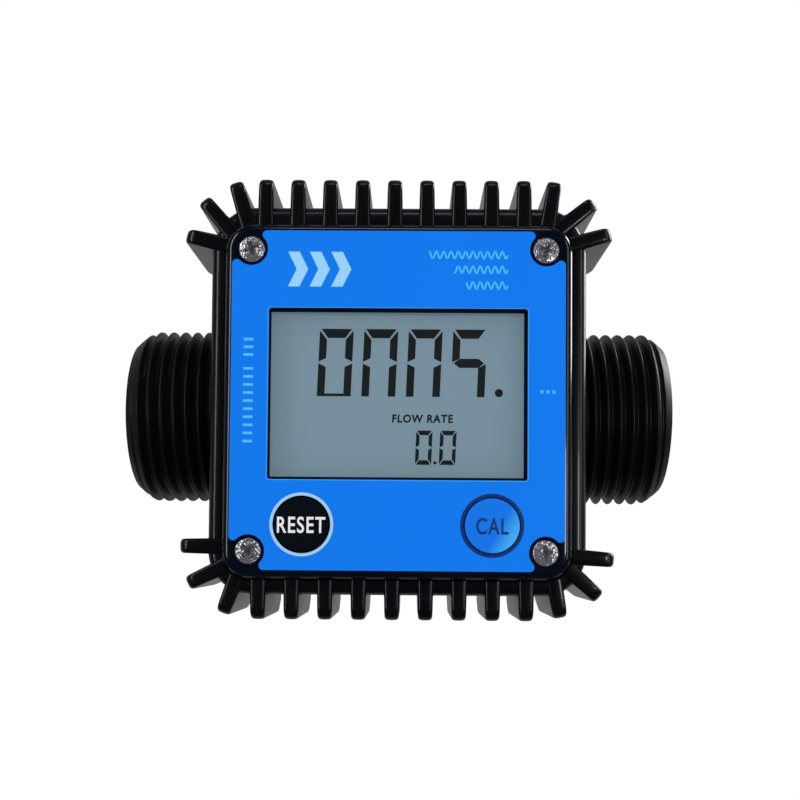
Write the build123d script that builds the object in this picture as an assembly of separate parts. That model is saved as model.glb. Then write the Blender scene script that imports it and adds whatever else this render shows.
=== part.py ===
from build123d import *
import math
import os

# Turbine flow meter: a square finned case on an in-line duct, with a battery powered display.
# Origin on the duct's axis in the middle of the case. +X runs along the flow to the outlet,
# -Y points out of the display and +Z is up. All lengths are in millimetres.

# Fits and clearances
press_gap = 0.02          # pressed or glued round pieces, radial
slip_gap = 0.1            # pieces set in by hand, each side
running_gap = 0.05        # shaft in its bushes, radial
key_gap = 0.25            # key in its hole, radial
lid_gap = 0.3             # cover in the mouth of the case, each side
tip_gap = 0.3             # rotor blades in their chamber, radial

# Duct and ports
thread_radius = 16.62     # crests of a 1 inch parallel pipe thread
port_length = 17.3        # each port past the side of the case
port_chamfer = 1.1
collar_proud = 0.68       # plain shoulder that a fitting runs up to, past the crests
collar_width = 1.1
duct_proud = 0.2          # duct inside the case, past the collar
bore_radius = 12.5
bore_chamfer = 0.8
chamber_radius = 11.6     # where the rotor turns
chamber_half = 8.6        # half length, up to the shoulders that the straighteners seat on

# Window and cells, which the case is made to hold
window_width = 44.9
window_height = 29.8
window_z = 1.07
window_corner = 0.6
cell_radius = 5.25
cell_length = 44.5

# Case
beside_window = 10.75     # from the window out to the side of the case
above_window = 18.95      # from the window out to the top or bottom, on average
past_cell_end = 10.95     # room for the spring, its plate, the rib and the wall
past_cell_side = 4.3
cell_clear = 1.55         # between a cell and the duct
case_corner = 7.6
case_depth = 25.5         # rim to back wall
case_back = 1.0
rim_round = 2.0
back_round = 1.5
back_wall = 2.5
mouth_wall = 2.5          # rim round the cover
ledge_width = 1.35        # shelf that carries the gasket
hump_fillet = 2.5         # duct to back wall

# Fins
fin_thickness = 2.15
fin_height = 4.9
fin_setback = 0.7         # end of the fins in front of the back wall
fin_straight = 21.0       # from the rim to where the outer edge starts to fall away
fin_nose = 1.7            # rounded front corner
fin_drop = 1.6            # height lost at the back end
fin_root = 0.6            # fillet along the case
upright_fins = 9
top_row_margin = 10.4     # side of the case to the last upright fin, on average
bottom_row_margin = 9.8
fin_row_shift = -0.8
# Fins fanned round each corner, from the top or bottom row to the side: the way each points,
# in degrees from +X towards +Z, and how far its middle plane passes beside the corner's centre
corner_fins = {
    (-1, 1): [(107.0, -0.4), (130.5, 0.7), (166.5, -0.3)],
    (1, 1): [(81.0, 0.2), (39.0, 1.8), (15.7, 0.5)],
    (-1, -1): [(250.0, -0.7), (206.0, 0.4), (180.0, -0.8)],
    (1, -1): [(280.0, 1.0), (318.2, 0.8), (355.7, -0.2)],
}

# Cover, label and pane
cover_proud = 2.5         # cover's face in front of the rim
cover_thickness = 2.2
cover_round = 1.8
skirt_depth = 1.4
skirt_wall = 1.2
gasket_thickness = 0.8
label_side_margin = 4.25  # case's outline to the label
label_end_margin = 4.35
label_thickness = 0.3
label_corner_cut = 1.5    # cut corner, past the screw's centre
label_notch = 2.85        # radius round each screw
label_round = 0.8
pane_lap = 1.2            # pane and display past the window, each side
pane_thickness = 1.0
pane_setback = 1.5        # pane's front behind the cover's face

# Cover screws
cover_screw_radius = 1.2
cover_screw_length = 9.0
cover_head_radius = 2.25
cover_head_height = 1.6
cover_head_dome = 0.6
head_sink = 1.0           # seat behind the cover's face
screw_tip_room = 1.0
boss_floor = 3.0          # past the screw's hole
boss_radius = 3.3

# Display and board
display_gap = 0.6         # display behind the cover
display_thickness = 2.2
frame_wall = 0.9
strip_height = 1.2        # conductive rubber strips
strip_width = 1.8
strip_end = 1.0           # shorter than the window, each end
board_thickness = 1.2
board_side_margin = 4.4   # case's outline to the board
board_end_margin = 6.85
board_notch = 1.0         # clear of the screw bosses
board_screw_edge = 1.6
board_screw_z = 12.0
board_screw_radius = 0.8
board_head_radius = 1.4
board_head_height = 1.0
board_screw_bite = 2.5    # into the cover's standoff
standoff_radius = 1.65

# Keys
key_in_from_window = 6.05 # key's middle from the window's side
key_below_window = 7.77
key_radius = 4.7
key_edge_proud = 0.3      # key's edge in front of the label
key_crown = 0.25          # key's middle in front of its edge
key_flange_radius = 5.2
key_flange = 0.6
key_rest_gap = 0.1        # flange behind the cover
key_travel = 0.6
switch_size = 6.0
switch_height = 1.8
plunger_radius = 1.0
plunger_sink = 0.5        # inside its switch at rest

# Cells and contacts
cell_nub_radius = 1.9
cell_nub = 0.8
cell_lift = 0.25          # cell above the case's floor
saddle_from_end = 8.25    # saddle's middle from the cell's end
saddle_thickness = 1.6
rib_overlap = 1.0         # ribs and saddles run into the walls and the duct
contact_thickness = 0.4
contact_width = 8.0
contact_tab_width = 2.4
contact_rib = 1.2
spring_length = 3.6
spring_wire = 0.35
spring_turns = 3.5
spring_base_radius = 3.0
spring_tip_radius = 1.8

# Rotor
rotor_hub_radius = 3.5
rotor_hub_length = 14.0
blade_count = 6
blade_length = 12.0
blade_twist = 60.0
blade_thickness = 1.2
blade_stations = 5
shaft_radius = 1.0
shaft_length = 22.0
magnet_radius = 2.7
magnet_length = 2.5

# Flow straighteners, bearing bushes and retaining rings
straightener_hub_radius = 3.6
straightener_hub_front = 7.9
straightener_length = 15.8
straightener_nose = 25.2
vane_count = 4
vane_thickness = 1.1
vane_sweep = 3.0
bush_radius = 2.1
bush_length = 3.6
ring_thickness = 1.0
ring_radius = 13.1
ring_inner_radius = 11.3
ring_mouth = 6.0          # gap of the ring
groove_radius = 13.3
lug_radius = 1.5
lug_hole_radius = 0.6

# Pickup and parts on the back of the board
reed_radius = 0.9
reed_length = 13.0
reed_spacing = 4.0
chip_size = 9.0
chip_height = 1.4
crystal_radius = 1.5
crystal_length = 8.0
capacitor_radius = 2.5
capacitor_height = 3.5
capacitor_x = 12.0
small_chips = 4
small_chip_pitch = 6.0
small_chip_length = 3.2
small_chip_width = 1.6
small_chip_height = 0.8
small_chip_row = 5.0      # below the crystal

# Widths and heights worked out from the sizes above
collar_radius = thread_radius + collar_proud
duct_radius = collar_radius + duct_proud
cell_z = duct_radius + cell_clear + cell_radius
width_for_window = window_width + 2 * beside_window
width_for_cells = cell_length + 2 * past_cell_end
case_width = max(width_for_window, width_for_cells)
height_for_window = window_height + 2 * above_window
height_for_cells = 2 * (cell_z + cell_radius + past_cell_side)
case_height = max(height_for_window, height_for_cells)
corner_x = case_width / 2 - case_corner
corner_z = case_height / 2 - case_corner
cavity_wall = mouth_wall + ledge_width
port_reach = case_width / 2 + port_length
bore_seat = chamber_half + slip_gap
vane_end = bore_seat + straightener_length
ring_start = vane_end + slip_gap
top_fin_pitch = (case_width - 2 * top_row_margin) / (upright_fins - 1)
bottom_fin_pitch = (case_width - 2 * bottom_row_margin) / (upright_fins - 1)
label_width = case_width - 2 * label_side_margin
label_height = case_height - 2 * label_end_margin
pane_width = window_width + 2 * pane_lap
pane_height = window_height + 2 * pane_lap
board_width = case_width - 2 * board_side_margin
board_height = case_height - 2 * board_end_margin
board_screw_x = board_width / 2 - board_screw_edge
saddle_x = cell_length / 2 - saddle_from_end
key_x = window_width / 2 - key_in_from_window
key_z = window_z - window_height / 2 - key_below_window
key_hole = key_radius + key_gap
corners = [(sx, sz) for sx in (-1, 1) for sz in (-1, 1)]

# Depths, from the front of the label to the back wall
rim_front = case_back - case_depth
face_front = rim_front - cover_proud
label_front = face_front - label_thickness
head_seat = face_front + head_sink
pane_front = face_front + pane_setback
cover_back = face_front + cover_thickness
skirt_back = cover_back + skirt_depth
ledge_front = skirt_back + gasket_thickness
screw_hole_end = head_seat + cover_screw_length + screw_tip_room
boss_back = screw_hole_end + boss_floor
display_front = cover_back + display_gap
board_front = display_front + display_thickness + strip_height
board_back = board_front + board_thickness
switch_front = board_front - switch_height
key_edge = label_front - key_edge_proud
key_flange_front = cover_back + key_rest_gap
key_back = key_flange_front + key_flange
plunger_back = switch_front + plunger_sink
fin_bend = rim_front + fin_straight
fin_back = case_back - fin_setback
floor_front = case_back - back_wall
cell_y = floor_front - cell_lift - cell_radius
contact_top = cell_y - contact_width / 2


def slab(plan, front, back):
    """Plan in X and Z carried along Y from front to back."""
    return extrude(Plane.XZ.offset(-back) * plan, amount=back - front)


def rod_x(radius, start, end, y=0.0, z=0.0):
    """Round bar along X between two stations."""
    return extrude(Plane.YZ.offset(start) * Pos(y, z) * Circle(radius), amount=end - start)


def rod_y(radius, front, back, x, z):
    """Round bar along Y between two depths."""
    return slab(Pos(x, z) * Circle(radius), front, back)


def block(x0, x1, y0, y1, z0, z1):
    """Box between two corners."""
    middle = Pos((x0 + x1) / 2, (y0 + y1) / 2, (z0 + z1) / 2)
    return middle * Box(abs(x1 - x0), abs(y1 - y0), abs(z1 - z0))


def case_plan(inset):
    """Case outline moved inwards by inset, or outwards where it is negative."""
    return RectangleRounded(case_width - 2 * inset, case_height - 2 * inset, case_corner - inset)


def fin_plan(x, z, angle):
    """One fin seen from the front, from a point inside the case out past its tip."""
    reach = case_height
    return Pos(x, z) * Rot(0, 0, angle) * Pos(reach / 2, 0) * Rectangle(reach, fin_thickness)


def all_fin_plans():
    """Upright rows above and below, and the fans at the corners."""
    plans = []
    middle = (upright_fins - 1) / 2
    for i in range(upright_fins):
        plans.append(fin_plan(fin_row_shift + (i - middle) * top_fin_pitch, 0.0, 90))
        plans.append(fin_plan(fin_row_shift + (i - middle) * bottom_fin_pitch, 0.0, 270))
    for (sx, sz), fan in corner_fins.items():
        for angle, shift in fan:
            turn = math.radians(angle)
            x = sx * corner_x - shift * math.sin(turn)
            z = sz * corner_z + shift * math.cos(turn)
            plans.append(fin_plan(x, z, angle))
    return Sketch() + plans


def fin_envelope():
    """Outline that every fin's edge lies on: round at the front, falling away at the back."""
    front = slab(case_plan(-fin_height), rim_front, fin_bend)
    front = fillet(front.faces().sort_by(Axis.Y)[0].edges(), fin_nose)
    steps = []
    for share in (0.0, 0.5, 1.0):
        y = fin_bend + share * (fin_back - fin_bend)
        inset = fin_drop * share ** 2 - fin_height
        steps.append(Plane.XZ.offset(-y) * case_plan(inset))
    return front + loft(steps)


def fins():
    """Thin plates that stand round the case and run over its rim to the cover."""
    plans = all_fin_plans()
    bars = slab(plans - case_plan(mouth_wall), rim_front, fin_back) & fin_envelope()
    sharp = (case_plan(0.0) + plans) & case_plan(-3 * fin_root)
    rounded = offset(offset(sharp, fin_root, kind=Kind.ARC), -fin_root, kind=Kind.ARC)
    return bars + slab(rounded - sharp, rim_front + rim_round, fin_back)


def duct():
    """Closed round bar of the duct with its collars and ports, before it is bored."""
    body = rod_x(duct_radius, -case_width / 2, case_width / 2)
    collar_end = case_width / 2 + collar_width
    body += rod_x(collar_radius, -collar_end, collar_end)
    ports = rod_x(thread_radius, -port_reach, port_reach)
    ends = ports.edges().filter_by(GeomType.CIRCLE)
    return body + chamfer(ends, port_chamfer)


def bore():
    """Water way: port bores, ring grooves and the narrower rotor chamber between two shoulders."""
    way = rod_x(chamber_radius, -port_reach, port_reach)
    for side in (-1, 1):
        start, end = sorted((side * chamber_half, side * (port_reach + 1)))
        way += rod_x(bore_radius, start, end)
        start, end = sorted((side * ring_start, side * (ring_start + ring_thickness + slip_gap)))
        way += rod_x(groove_radius, start, end)
        mouth = Pos(side * (port_reach - bore_chamfer / 2), 0, 0) * Rot(0, side * 90, 0)
        way += mouth * Cone(bore_radius, bore_radius + bore_chamfer, bore_chamfer)
    return way


def screw_bosses():
    """Post under each cover screw, joined to the corner wall below the gasket's ledge."""
    posts = []
    web = (case_corner - cavity_wall / 2) / math.sqrt(2)
    for sx, sz in corners:
        x, z = sx * corner_x, sz * corner_z
        posts.append(rod_y(boss_radius, cover_back, boss_back, x, z))
        plan = Pos(x + sx * web / 2, z + sz * web / 2) * Rectangle(web, web)
        posts.append(slab(plan, ledge_front, boss_back))
    return posts


def cell_ends(sz):
    """Stations of one cell's flat end plate and of the plate behind its spring."""
    flat = sz * cell_length / 2
    sprung = -sz * (cell_length / 2 + spring_length)
    return flat, sprung


def cell_cradles():
    """Saddles under the cells and the ribs that back their contact plates."""
    wall = case_height / 2 - cavity_wall
    ribs = []
    for sz in (-1, 1):
        z0, z1 = sz * (duct_radius - rib_overlap), sz * (wall + rib_overlap)
        for x in (-saddle_x, saddle_x):
            saddle = block(x - saddle_thickness / 2, x + saddle_thickness / 2,
                           cell_y, floor_front, z0, z1)
            ribs.append(saddle)
        for station in cell_ends(sz):
            away = math.copysign(1.0, station)
            start = station + away * contact_thickness
            ribs.append(block(start, start + away * contact_rib, cell_y, floor_front, z0, z1))
    return ribs


def back_hump():
    """Half round back of the duct, blended into the back wall."""
    wall = Pos(case_back - 1, 0) * Rectangle(2, 2 * (duct_radius + 2 * hump_fillet))
    section = Circle(duct_radius) + wall
    seam = section.vertices().filter_by(lambda v: v.X > case_back - 0.01 and abs(v.Y) < duct_radius)
    section = fillet(seam, hump_fillet)
    width = case_width - 2 * back_round
    return extrude(Plane.YZ.offset(-width / 2) * section, amount=width)


def housing():
    """Moulded case, duct and fins in one piece, open at the front."""
    body = slab(case_plan(0.0), rim_front, case_back)
    body = fillet(body.faces().sort_by(Axis.Y)[0].edges(), rim_round)
    body = fillet(body.faces().sort_by(Axis.Y)[-1].edges(), back_round)
    body += back_hump() + fins()
    body -= slab(case_plan(mouth_wall), rim_front, ledge_front)
    body -= slab(case_plan(cavity_wall), ledge_front, floor_front)
    body += [duct()] + screw_bosses() + cell_cradles()
    for sz in (-1, 1):
        body -= rod_x(cell_radius + slip_gap, -cell_length / 2, cell_length / 2, cell_y, sz * cell_z)
    for sx, sz in corners:
        x, z = sx * corner_x, sz * corner_z
        body -= rod_y(cover_screw_radius + press_gap, cover_back, screw_hole_end, x, z)
    return body - bore()


def cover_plan(inset=0.0):
    """Cover outline, which leaves a gap to the mouth of the case."""
    return case_plan(mouth_wall + lid_gap + inset)


def front_cover():
    """Rounded lid with a skirt, the window, two key holes, screw seats and board standoffs."""
    lid = slab(cover_plan(), face_front, skirt_back)
    lid = fillet(lid.faces().sort_by(Axis.Y)[0].edges(), cover_round)
    lid -= slab(cover_plan(skirt_wall), cover_back, skirt_back)
    for sx in (-1, 1):
        for sz in (-1, 1):
            x, z = sx * board_screw_x, sz * board_screw_z
            lid += rod_y(standoff_radius, cover_back, board_front, x, z)
            lid -= rod_y(board_screw_radius + press_gap, cover_back, board_front, x, z)
            x, z = sx * corner_x, sz * corner_z
            lid -= rod_y(cover_head_radius + slip_gap, face_front, head_seat, x, z)
            lid -= rod_y(cover_screw_radius + slip_gap, head_seat, cover_back, x, z)
        lid -= rod_y(key_hole, face_front, cover_back, sx * key_x, key_z)
    lid -= slab(window_plan(), face_front, cover_back)
    pocket = Rectangle(pane_width + 2 * slip_gap, pane_height + 2 * slip_gap)
    return lid - slab(Pos(0, window_z) * pocket, pane_front, cover_back)


def window_plan(grow=0.0):
    """Window opening, larger by grow on each side."""
    width, height = window_width + 2 * grow, window_height + 2 * grow
    return Pos(0, window_z) * RectangleRounded(width, height, window_corner + grow)


def front_label():
    """Thin printed plate with cut corners round the screws, the window and two key holes."""
    plan = Rectangle(label_width, label_height)
    for sx, sz in corners:
        x, z = sx * corner_x, sz * corner_z
        away = case_corner / 2 - label_corner_cut
        plan -= Pos(x + sx * away, z + sz * away) * Rectangle(case_corner, case_corner)
        plan -= Pos(x, z) * Circle(label_notch)
    plan = offset(plan, -label_round, kind=Kind.ARC)
    plan = offset(plan, label_round, kind=Kind.ARC) - window_plan()
    for sx in (-1, 1):
        plan -= Pos(sx * key_x, key_z) * Circle(key_hole)
    return slab(plan, label_front, face_front)


def display_window():
    """Clear pane set into the back of the cover."""
    plan = Pos(0, window_z) * Rectangle(pane_width, pane_height)
    return slab(plan, pane_front, pane_front + pane_thickness)


def display_glass():
    """Liquid crystal display: two glass sheets, the rear one longer for its contacts."""
    rear = Pos(0, window_z) * Rectangle(pane_width, pane_height)
    front = Pos(0, window_z) * Rectangle(pane_width, pane_height - 2 * strip_width)
    middle = display_front + display_thickness / 2
    return slab(front, display_front, middle) + slab(rear, middle, display_front + display_thickness)


def display_frame():
    """Bezel that holds the display against its rubber strips and stands on the board."""
    inner = Rectangle(pane_width + 2 * slip_gap, pane_height + 2 * slip_gap)
    grow = 2 * (slip_gap + frame_wall)
    plan = Rectangle(pane_width + grow, pane_height + grow) - inner
    return slab(Pos(0, window_z) * plan, display_front, board_front)


def contact_strips():
    """Two rubber strips between the display's edges and the board."""
    back = display_front + display_thickness
    away = pane_height / 2 - strip_width / 2 - slip_gap
    plan = Rectangle(window_width - 2 * strip_end, strip_width)
    return [slab(Pos(0, window_z + s * away) * plan, back, board_front) for s in (-1, 1)]


def circuit_board():
    """Board with rounded notches round the bosses and holes for its four screws."""
    plan = Rectangle(board_width, board_height)
    for sx, sz in corners:
        plan -= Pos(sx * corner_x, sz * corner_z) * Circle(boss_radius + board_notch)
        plan -= Pos(sx * board_screw_x, sz * board_screw_z) * Circle(board_screw_radius + slip_gap)
    return slab(plan, board_front, board_back)


def board_screws():
    """Four small screws from behind the board into the cover's standoffs."""
    screws = []
    for sx, sz in corners:
        x, z = sx * board_screw_x, sz * board_screw_z
        shank = rod_y(board_screw_radius, board_front - board_screw_bite, board_back, x, z)
        head = rod_y(board_head_radius, board_back, board_back + board_head_height, x, z)
        screws.append(shank + head)
    return screws


def cover_screws():
    """Four screws with domed heads that hold the cover to the case."""
    screws = []
    top = head_seat - cover_head_height
    for sx, sz in corners:
        x, z = sx * corner_x, sz * corner_z
        head = rod_y(cover_head_radius, top, head_seat, x, z)
        head = fillet(head.faces().sort_by(Axis.Y)[0].edges(), cover_head_dome)
        shank = rod_y(cover_screw_radius, head_seat, head_seat + cover_screw_length, x, z)
        screws.append(head + shank)
    return screws


def tact_switch(side):
    """Push switch on the board under one key, hollow for its plunger."""
    x = side * key_x
    body = slab(Pos(x, key_z) * Rectangle(switch_size, switch_size), switch_front, board_front)
    well = plunger_back + key_travel + slip_gap
    return body - rod_y(plunger_radius + key_gap, switch_front, well, x, key_z)


def key_cap(side):
    """Round key with a crowned face and a flange that keeps it behind the cover."""
    x = side * key_x
    crown = key_edge - key_crown
    dome = (key_radius ** 2 + key_crown ** 2) / (2 * key_crown)
    cap = rod_y(key_radius, crown, key_flange_front, x, key_z)
    cap &= Pos(x, crown + dome, key_z) * Sphere(dome)
    return cap + rod_y(key_flange_radius, key_flange_front, key_back, x, key_z)


def key_plunger(side):
    """Pin between a key and the inside of its switch."""
    return rod_y(plunger_radius, key_back, plunger_back, side * key_x, key_z)


def cover_gasket():
    """Flat ring squeezed between the cover's skirt and the ledge."""
    plan = cover_plan() - cover_plan(skirt_wall - 2 * slip_gap)
    return slab(plan, skirt_back, ledge_front)


def cell(sz):
    """Cell with a raised contact at its flat plate's end."""
    away = sz
    nub = sz * cell_length / 2
    body_end = nub - away * cell_nub
    start, end = sorted((-sz * cell_length / 2, body_end))
    body = rod_x(cell_radius, start, end, cell_y, sz * cell_z)
    start, end = sorted((body_end, nub))
    return body + rod_x(cell_nub_radius, start, end, cell_y, sz * cell_z)


def contact_plates():
    """Four spring steel plates, each with a tab up to the back of the board."""
    plates = []
    for sz in (-1, 1):
        for station in cell_ends(sz):
            away = math.copysign(1.0, station)
            end = station + away * contact_thickness
            z = sz * cell_z
            half, tab = contact_width / 2, contact_tab_width / 2
            plate = block(station, end, contact_top, floor_front, z - half, z + half)
            inner = z - sz * (half - tab)
            plate += block(station, end, board_back, contact_top, inner - tab, inner + tab)
            plates.append(plate)
    return plates


def cell_spring(sz):
    """Conical coil between a cell's flat end and its contact plate."""
    start = -sz * (cell_length / 2 + spring_length - spring_wire)
    height = spring_length - 2 * spring_wire
    angle = math.degrees(math.atan2(spring_base_radius - spring_tip_radius, height))
    path = Helix(height / spring_turns, height, spring_base_radius, cone_angle=-angle)
    section = Plane(origin=path @ 0, z_dir=path % 0) * Circle(spring_wire)
    wire = sweep(section, path=path, is_frenet=True)
    return Pos(start, cell_y, sz * cell_z) * Rot(0, sz * 90, 0) * wire


def rotor_blade():
    """Radial plate carried along the shaft while it turns by the twist."""
    inner = rotor_hub_radius * 0.6
    tip = chamber_radius - tip_gap
    stations = []
    for i in range(blade_stations):
        share = i / (blade_stations - 1) - 0.5
        section = Rot(0, 0, blade_twist * share) * Pos((inner + tip + 1) / 2, 0)
        section *= Rectangle(tip + 1 - inner, blade_thickness)
        stations.append(Plane.YZ.offset(blade_length * share) * section)
    return loft(stations) & rod_x(tip, -blade_length, blade_length)


def turbine_rotor():
    """Hub with twisted blades, bored for its shaft and its ring magnet."""
    half = rotor_hub_length / 2
    hub = rod_x(rotor_hub_radius, -half, half)
    hub = chamfer(hub.edges().filter_by(GeomType.CIRCLE), 0.6)
    blade = rotor_blade()
    rotor = hub + [Rot(360 / blade_count * i, 0, 0) * blade for i in range(blade_count)]
    rotor -= rod_x(shaft_radius + press_gap, -half, half)
    return rotor - rod_x(magnet_radius + press_gap, half - magnet_length - slip_gap, half)


def rotor_magnet():
    """Ring magnet in the end of the hub."""
    half = rotor_hub_length / 2
    ring = rod_x(magnet_radius, half - magnet_length, half)
    return ring - rod_x(shaft_radius + press_gap, half - magnet_length, half)


def straightener(side):
    """Bullet shaped hub on four thin vanes that calm the flow, with a pocket for the bush."""
    front = straightener_hub_front
    nose_start = straightener_nose - straightener_hub_radius
    hub = rod_x(straightener_hub_radius, front, nose_start)
    hub += Pos(nose_start, 0, 0) * Sphere(straightener_hub_radius)
    outer = bore_radius - slip_gap
    vane = make_face(Polyline(
        (bore_seat, 0, 0), (bore_seat, 0, outer), (vane_end, 0, outer),
        (vane_end - vane_sweep, 0, straightener_hub_radius * 0.5),
        (vane_end - vane_sweep, 0, 0), close=True))
    plate = extrude(vane, amount=vane_thickness / 2, both=True)
    body = hub + [Rot(45 + 360 / vane_count * i, 0, 0) * plate for i in range(vane_count)]
    body -= rod_x(bush_radius + press_gap, front, front + bush_length)
    body -= rod_x(shaft_radius + 3 * running_gap, front, shaft_length / 2 + 4 * slip_gap)
    return body if side > 0 else Rot(0, 0, 180) * body


def bearing_bush(side):
    """Plain bush that a shaft end turns in."""
    start, end = sorted((side * straightener_hub_front, side * (straightener_hub_front + bush_length)))
    bush = rod_x(bush_radius, start, end)
    return bush - rod_x(shaft_radius + running_gap, start, end)


def retaining_ring(side):
    """Open spring ring with two drilled lugs that keeps a straightener in its seat."""
    plan = Circle(ring_radius) - Circle(ring_inner_radius)
    plan -= Pos(0, ring_radius) * Rectangle(ring_mouth, ring_radius)
    turn = math.degrees(math.asin((ring_mouth / 2 + lug_radius) / ring_inner_radius))
    for way in (-1, 1):
        lug = Rot(0, 0, way * turn) * Pos(0, ring_inner_radius - lug_radius / 3)
        plan += lug * Circle(lug_radius)
        plan -= lug * Circle(lug_hole_radius)
    start = side * ring_start if side > 0 else -ring_start - ring_thickness
    return extrude(Plane.YZ.offset(start) * plan, amount=ring_thickness)


def reed_sensors():
    """Two glass reed switches lying along the duct on the back of the board."""
    y = board_back + reed_radius
    half = reed_length / 2
    return [rod_x(reed_radius, -half, half, y, s * reed_spacing / 2) for s in (-1, 1)]


def processor_chip():
    """Square chip on the back of the board."""
    plan = Pos(0, cell_z - chip_size) * Rectangle(chip_size, chip_size)
    return slab(plan, board_back, board_back + chip_height)


def board_components():
    """Crystal can, two capacitors and a row of small chips on the back of the board."""
    z = chip_size - cell_z
    half = crystal_length / 2
    parts = [rod_x(crystal_radius, -half, half, board_back + crystal_radius, z)]
    for x in (-capacitor_x, capacitor_x):
        parts.append(rod_y(capacitor_radius, board_back, board_back + capacitor_height, x, z))
    for i in range(small_chips):
        x = (i - (small_chips - 1) / 2) * small_chip_pitch
        plan = Pos(x, z - small_chip_row) * Rectangle(small_chip_length, small_chip_width)
        parts.append(slab(plan, board_back, board_back + small_chip_height))
    return parts


def write(name, solids):
    """Write one piece, or a group of like pieces, to its own file."""
    shape = Compound(children=list(solids)) if isinstance(solids, list) else solids
    export_step(shape, f"parts/{name}.step")


def main():
    os.makedirs("parts", exist_ok=True)
    write("housing", housing())
    write("front_cover", front_cover())
    write("front_label", front_label())
    write("display_window", display_window())
    write("display_glass", display_glass())
    write("display_frame", display_frame())
    write("contact_strips", contact_strips())
    write("circuit_board", circuit_board())
    write("processor_chip", processor_chip())
    write("reed_sensors", reed_sensors())
    write("board_components", board_components())
    write("board_screws", board_screws())
    write("cover_screws", cover_screws())
    write("cover_gasket", cover_gasket())
    write("battery_contacts", contact_plates())
    write("battery_springs", [cell_spring(sz) for sz in (-1, 1)])
    write("battery_lower", cell(-1))
    write("battery_upper", cell(1))
    for side, end in ((-1, "inlet"), (1, "outlet")):
        write(f"{end}_straightener", straightener(side))
        write(f"{end}_bearing", bearing_bush(side))
        write(f"{end}_retaining_ring", retaining_ring(side))
    for side, key in ((-1, "reset"), (1, "calibrate")):
        write(f"{key}_switch", tact_switch(side))
        write(f"{key}_button", key_cap(side))
        write(f"{key}_plunger", key_plunger(side))
    write("turbine_rotor", turbine_rotor())
    write("rotor_shaft", rod_x(shaft_radius, -shaft_length / 2, shaft_length / 2))
    write("rotor_magnet", rotor_magnet())


main()
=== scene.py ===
import math

import bmesh
import bpy
import numpy as np
from mathutils import Matrix, Vector


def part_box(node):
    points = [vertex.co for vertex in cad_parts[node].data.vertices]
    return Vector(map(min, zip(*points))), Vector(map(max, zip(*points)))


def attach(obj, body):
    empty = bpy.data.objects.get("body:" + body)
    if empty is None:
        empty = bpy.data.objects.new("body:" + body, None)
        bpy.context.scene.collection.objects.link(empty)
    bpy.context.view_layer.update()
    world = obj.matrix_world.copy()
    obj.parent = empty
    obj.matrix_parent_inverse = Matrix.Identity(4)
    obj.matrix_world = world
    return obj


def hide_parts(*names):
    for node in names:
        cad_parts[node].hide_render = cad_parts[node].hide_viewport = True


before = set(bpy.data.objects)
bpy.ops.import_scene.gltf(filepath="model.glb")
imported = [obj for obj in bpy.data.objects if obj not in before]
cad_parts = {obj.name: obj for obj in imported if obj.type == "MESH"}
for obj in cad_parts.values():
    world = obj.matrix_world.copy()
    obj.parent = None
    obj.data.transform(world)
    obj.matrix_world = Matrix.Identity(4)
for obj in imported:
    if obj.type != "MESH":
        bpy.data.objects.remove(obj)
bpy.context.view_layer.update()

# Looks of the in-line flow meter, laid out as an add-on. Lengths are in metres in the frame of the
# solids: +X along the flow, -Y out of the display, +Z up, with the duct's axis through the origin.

bl_info = {
    "name": "In-line flow meter",
    "version": (1, 0, 0),
    "blender": (4, 5, 0),
    "location": "View3D > Sidebar > Flow meter",
    "description": "Dresses the flow meter's solids and sets its studio",
    "category": "Add Mesh",
}

MM = 0.001
BODY, ROTOR, RESET, CALIBRATE = "body", "rotor", "reset_key", "calibrate_key"

# Boxes of the solids that the scene's pieces are placed by
LABEL_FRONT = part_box("front_label")[0].y
PORT_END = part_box("housing")[1].x
FIN_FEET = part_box("housing")[0].z
SCREWS_LOW, SCREWS_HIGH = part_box("cover_screws")
PANE_LOW, PANE_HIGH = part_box("display_window")
GLASS_LOW, GLASS_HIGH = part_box("display_glass")


# Sizes and colours that a user would change


def linear(red, green, blue):
    """Colour seen on a screen, 0 to 255, as the linear light that shaders use."""
    seen = np.array((red, green, blue)) / 255.0
    light = np.where(seen <= 0.04045, seen / 12.92, ((seen + 0.055) / 1.055) ** 2.4)
    return tuple(float(v) for v in light)


def length(name, text, value):
    """Length property, given in mm and kept in metres."""
    return bpy.props.FloatProperty(
        name=name, description=text, default=value * MM, min=0.0, precision=5,
        subtype="DISTANCE", unit="LENGTH")


def tint(name, text, *seen):
    """Colour property, given as seen on a screen and kept in linear light."""
    return bpy.props.FloatVectorProperty(
        name=name, description=text, default=linear(*seen), min=0.0, max=1.0, size=3,
        subtype="COLOR")


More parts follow.
